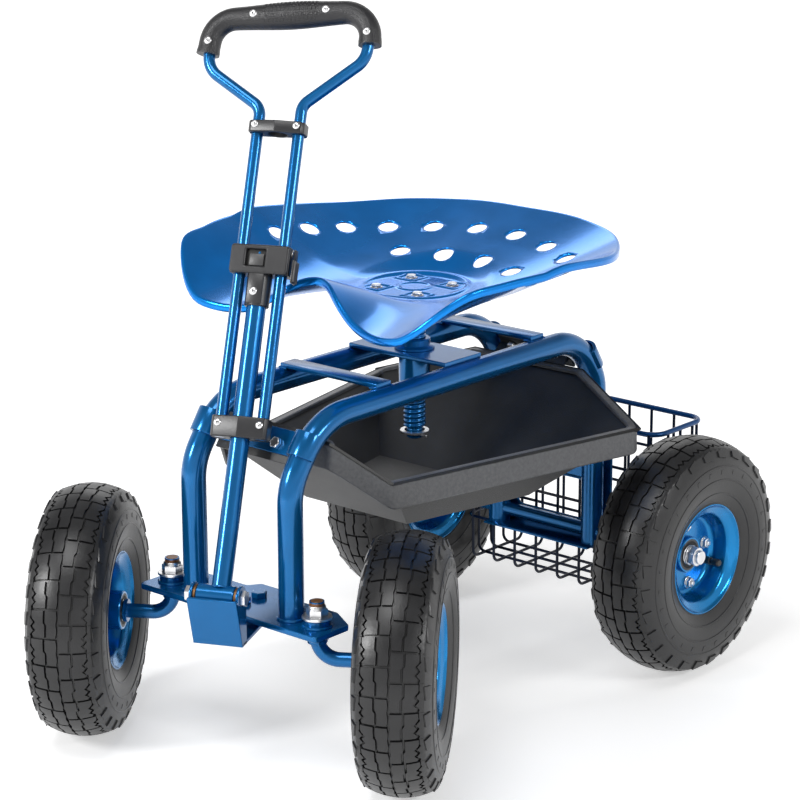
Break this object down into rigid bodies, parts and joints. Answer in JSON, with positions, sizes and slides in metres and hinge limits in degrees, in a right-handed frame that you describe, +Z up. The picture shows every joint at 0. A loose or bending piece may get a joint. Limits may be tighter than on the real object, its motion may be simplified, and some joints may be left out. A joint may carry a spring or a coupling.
{
  "type": "rolling garden seat",
  "caption": "Rolling garden work seat with steerable front axle, telescopic pull handle, swivel tractor seat, tool tray, wire basket and pneumatic wheels.",
  "frame": {"origin": "centre of the bounding box, on the ground", "axes": "+Z up, -Y towards the steered front axle, +X towards the seat's left side"},
  "size_m": [0.5342, 0.7876, 0.742],
  "materials": {
    "blue_paint": "gloss royal blue powder coat",
    "rim_paint": "metallic azure coat",
    "tyre": "moulded black rubber",
    "bright_steel": "zinc plated",
    "tray_plastic": "textured charcoal",
    "black_plastic": "satin black",
    "bronze": "sintered bronze",
    "basket_wire": "navy coated wire"
  },
  "bodies": {
    "frame": {"left_frame_tube": "blue_paint", "right_frame_tube": "blue_paint", "narrow_flat_bars": "blue_paint", "middle_flat_bar": "blue_paint", "seat_socket": "blue_paint", "front_cross_bracket": "blue_paint", "rear_cross_bracket": "blue_paint", "front_axle_plate": "blue_paint", "steering_pivot_bolt": "bright_steel", "steering_stop_bolt": "bright_steel", "rear_panel": "blue_paint", "rear_axle": "bright_steel", "rear_axle_nuts": "bright_steel", "tool_tray": "tray_plastic", "basket_rim": "basket_wire", "basket_long_grilles": "basket_wire", "basket_end_grilles": "basket_wire", "basket_floor": "basket_wire"},
    "steering": {"steering_bracket": "blue_paint", "handle_pivot_bolt": "bright_steel", "pivot_bushes": "bronze"},
    "left_link": {"left_tie_rod": "bright_steel"},
    "right_link": {"right_tie_rod": "bright_steel"},
    "left_knuckle": {"left_spindle": "bright_steel", "left_spindle_nuts": "bright_steel"},
    "right_knuckle": {"right_spindle": "bright_steel", "right_spindle_nuts": "bright_steel"},
    "front_left_wheel": {"front_left_tyre": "tyre", "front_left_rim": "rim_paint", "front_left_hub": "bright_steel", "front_left_bearings": "bright_steel"},
    "front_right_wheel": {"front_right_tyre": "tyre", "front_right_rim": "rim_paint", "front_right_hub": "bright_steel", "front_right_bearings": "bright_steel"},
    "rear_left_wheel": {"rear_left_tyre": "tyre", "rear_left_rim": "rim_paint", "rear_left_hub": "bright_steel", "rear_left_bearings": "bright_steel"},
    "rear_right_wheel": {"rear_right_tyre": "tyre", "rear_right_rim": "rim_paint", "rear_right_hub": "bright_steel", "rear_right_bearings": "bright_steel"},
    "handle": {"handle_tube": "blue_paint", "pivot_barrel": "blue_paint", "latch_block": "black_plastic", "latch_pin": "bright_steel"},
    "latch": {"latch_lever": "black_plastic"},
    "grip": {"left_handle_rod": "blue_paint", "right_handle_rod": "blue_paint", "upper_clamp": "black_plastic", "lower_clamp": "black_plastic", "grip_front": "black_plastic", "grip_rear": "black_plastic", "handle_screws": "bright_steel"},
    "post": {"seat_post": "bright_steel", "post_washer": "bright_steel", "post_pin": "bright_steel"},
    "seat": {"seat_plate": "blue_paint", "seat_pan": "blue_paint"}
  },
  "joints": [
    {"name": "steer", "type": "hinge", "parent": "frame", "child": "steering", "pos_m": [0, -0.22616, 0.149], "axis": [0, 0, 1], "range_deg": [-54, 4]},
    {"name": "left_wheel_steer", "type": "hinge", "parent": "frame", "child": "left_knuckle", "pos_m": [0.1, -0.22616, 0.16], "axis": [0, 0, 1], "range_deg": [-72, 6]},
    {"name": "right_wheel_steer", "type": "hinge", "parent": "frame", "child": "right_knuckle", "pos_m": [-0.1, -0.22616, 0.16], "axis": [0, 0, 1], "range_deg": [-72, 6]},
    {"name": "left_link_swing", "type": "hinge", "parent": "steering", "child": "left_link", "pos_m": [-0.02176, -0.17948, 0.144], "axis": [0, 0, 1], "range_deg": [-6, 56]},
    {"name": "right_link_swing", "type": "hinge", "parent": "steering", "child": "right_link", "pos_m": [-0.02176, -0.17948, 0.139], "axis": [0, 0, 1], "range_deg": [-6, 56]},
    {"name": "front_left_spin", "type": "hinge", "parent": "left_knuckle", "child": "front_left_wheel", "pos_m": [0.1738, -0.17823, 0.13], "axis": [0.8387, 0.5446, 0], "continuous": true},
    {"name": "front_right_spin", "type": "hinge", "parent": "right_knuckle", "child": "front_right_wheel", "pos_m": [-0.1738, -0.27409, 0.13], "axis": [0.8387, 0.5446, 0], "continuous": true},
    {"name": "rear_left_spin", "type": "hinge", "parent": "frame", "child": "rear_left_wheel", "pos_m": [0.1895, 0.26384, 0.13], "axis": [1, 0, 0], "continuous": true},
    {"name": "rear_right_spin", "type": "hinge", "parent": "frame", "child": "rear_right_wheel", "pos_m": [-0.1895, 0.26384, 0.13], "axis": [1, 0, 0], "continuous": true},
    {"name": "handle_tilt", "type": "hinge", "parent": "steering", "child": "handle", "pos_m": [0.03178, -0.29431, 0.1977], "axis": [0.9063, 0.4226, 0], "range_deg": [-1, 62]},
    {"name": "handle_slide", "type": "slide", "parent": "handle", "child": "grip", "axis": [-0.1799, 0.3859, 0.9048], "range_m": [-0.104, 0.104]},
    {"name": "latch_press", "type": "hinge", "parent": "handle", "child": "latch", "pos_m": [0.00513, -0.14654, 0.50625], "axis": [0.3824, -0.8201, 0.4258], "range_deg": [0, 14], "stiffness_Nm_per_rad": 0.3, "springref_deg": -11.46},
    {"name": "seat_height", "type": "slide", "parent": "frame", "child": "post", "axis": [0, 0, 1], "range_m": [-0.012, 0.025]},
    {"name": "seat_swivel", "type": "hinge", "parent": "post", "child": "seat", "pos_m": [0, 0.03684, 0.422], "axis": [0, 0, 1], "range_deg": [-15, 15]}
  ],
  "couplings": [
    {"joint": "left_wheel_steer", "follows": "steer", "ratio": 1.32},
    {"joint": "right_wheel_steer", "follows": "steer", "ratio": 1.32},
    {"joint": "left_link_swing", "follows": "steer", "ratio": -1},
    {"joint": "right_link_swing", "follows": "steer", "ratio": -1}
  ]
}
